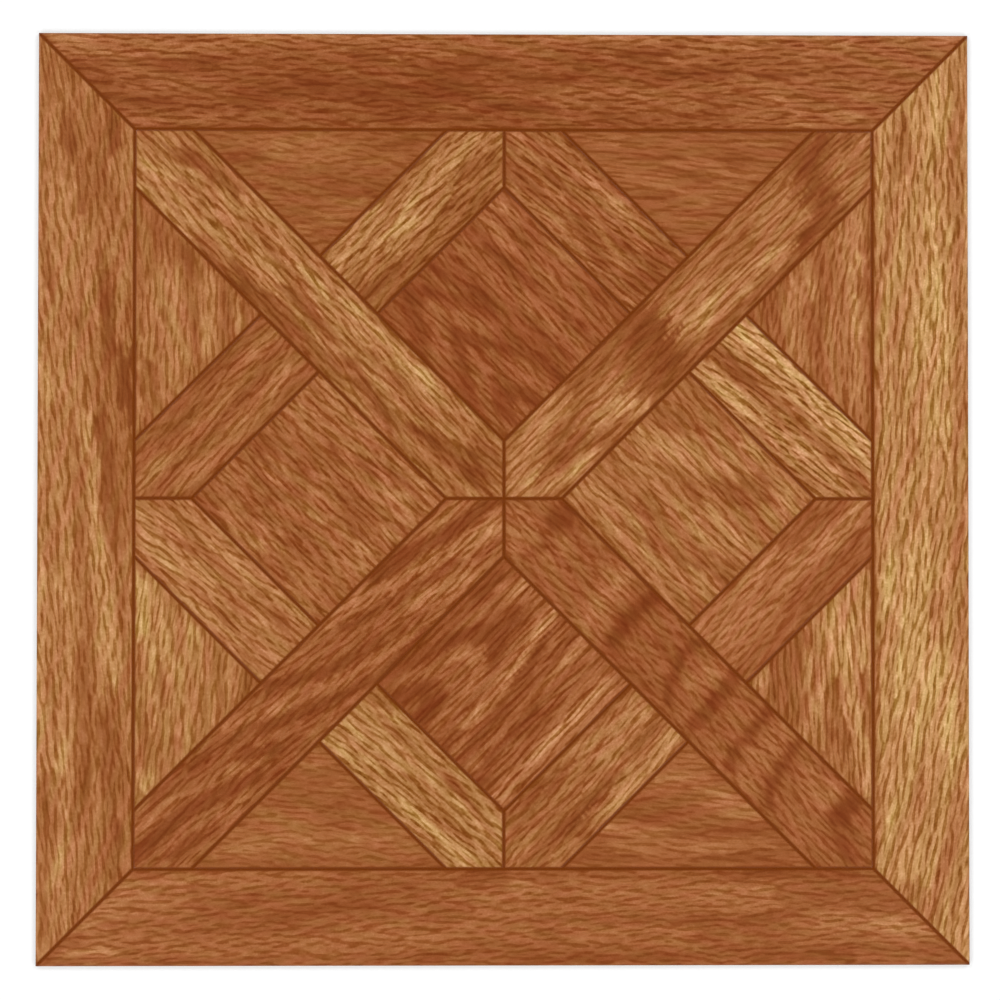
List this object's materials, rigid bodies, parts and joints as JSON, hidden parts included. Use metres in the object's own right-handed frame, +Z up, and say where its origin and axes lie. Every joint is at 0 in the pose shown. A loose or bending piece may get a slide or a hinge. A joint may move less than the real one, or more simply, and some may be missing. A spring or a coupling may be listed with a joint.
{
  "type": "vinyl floor tile",
  "caption": "Square vinyl floor tile with a flat back. Its face shows oak parquet: a mitred border, diagonal arms and a lattice square, with shallow pressed joint lines.",
  "frame": {"origin": "centre of the underside, where the tile lies on the floor", "axes": "+Z up, out of the printed face; +X and +Y along the tile's sides, with +Y towards the top of the picture"},
  "size_m": [0.3048, 0.3048, 0.0012],
  "materials": {
    "printed_vinyl": "satin"
  },
  "bodies": {
    "root": {"floor_tile": "printed_vinyl"}
  },
  "joints": []
}
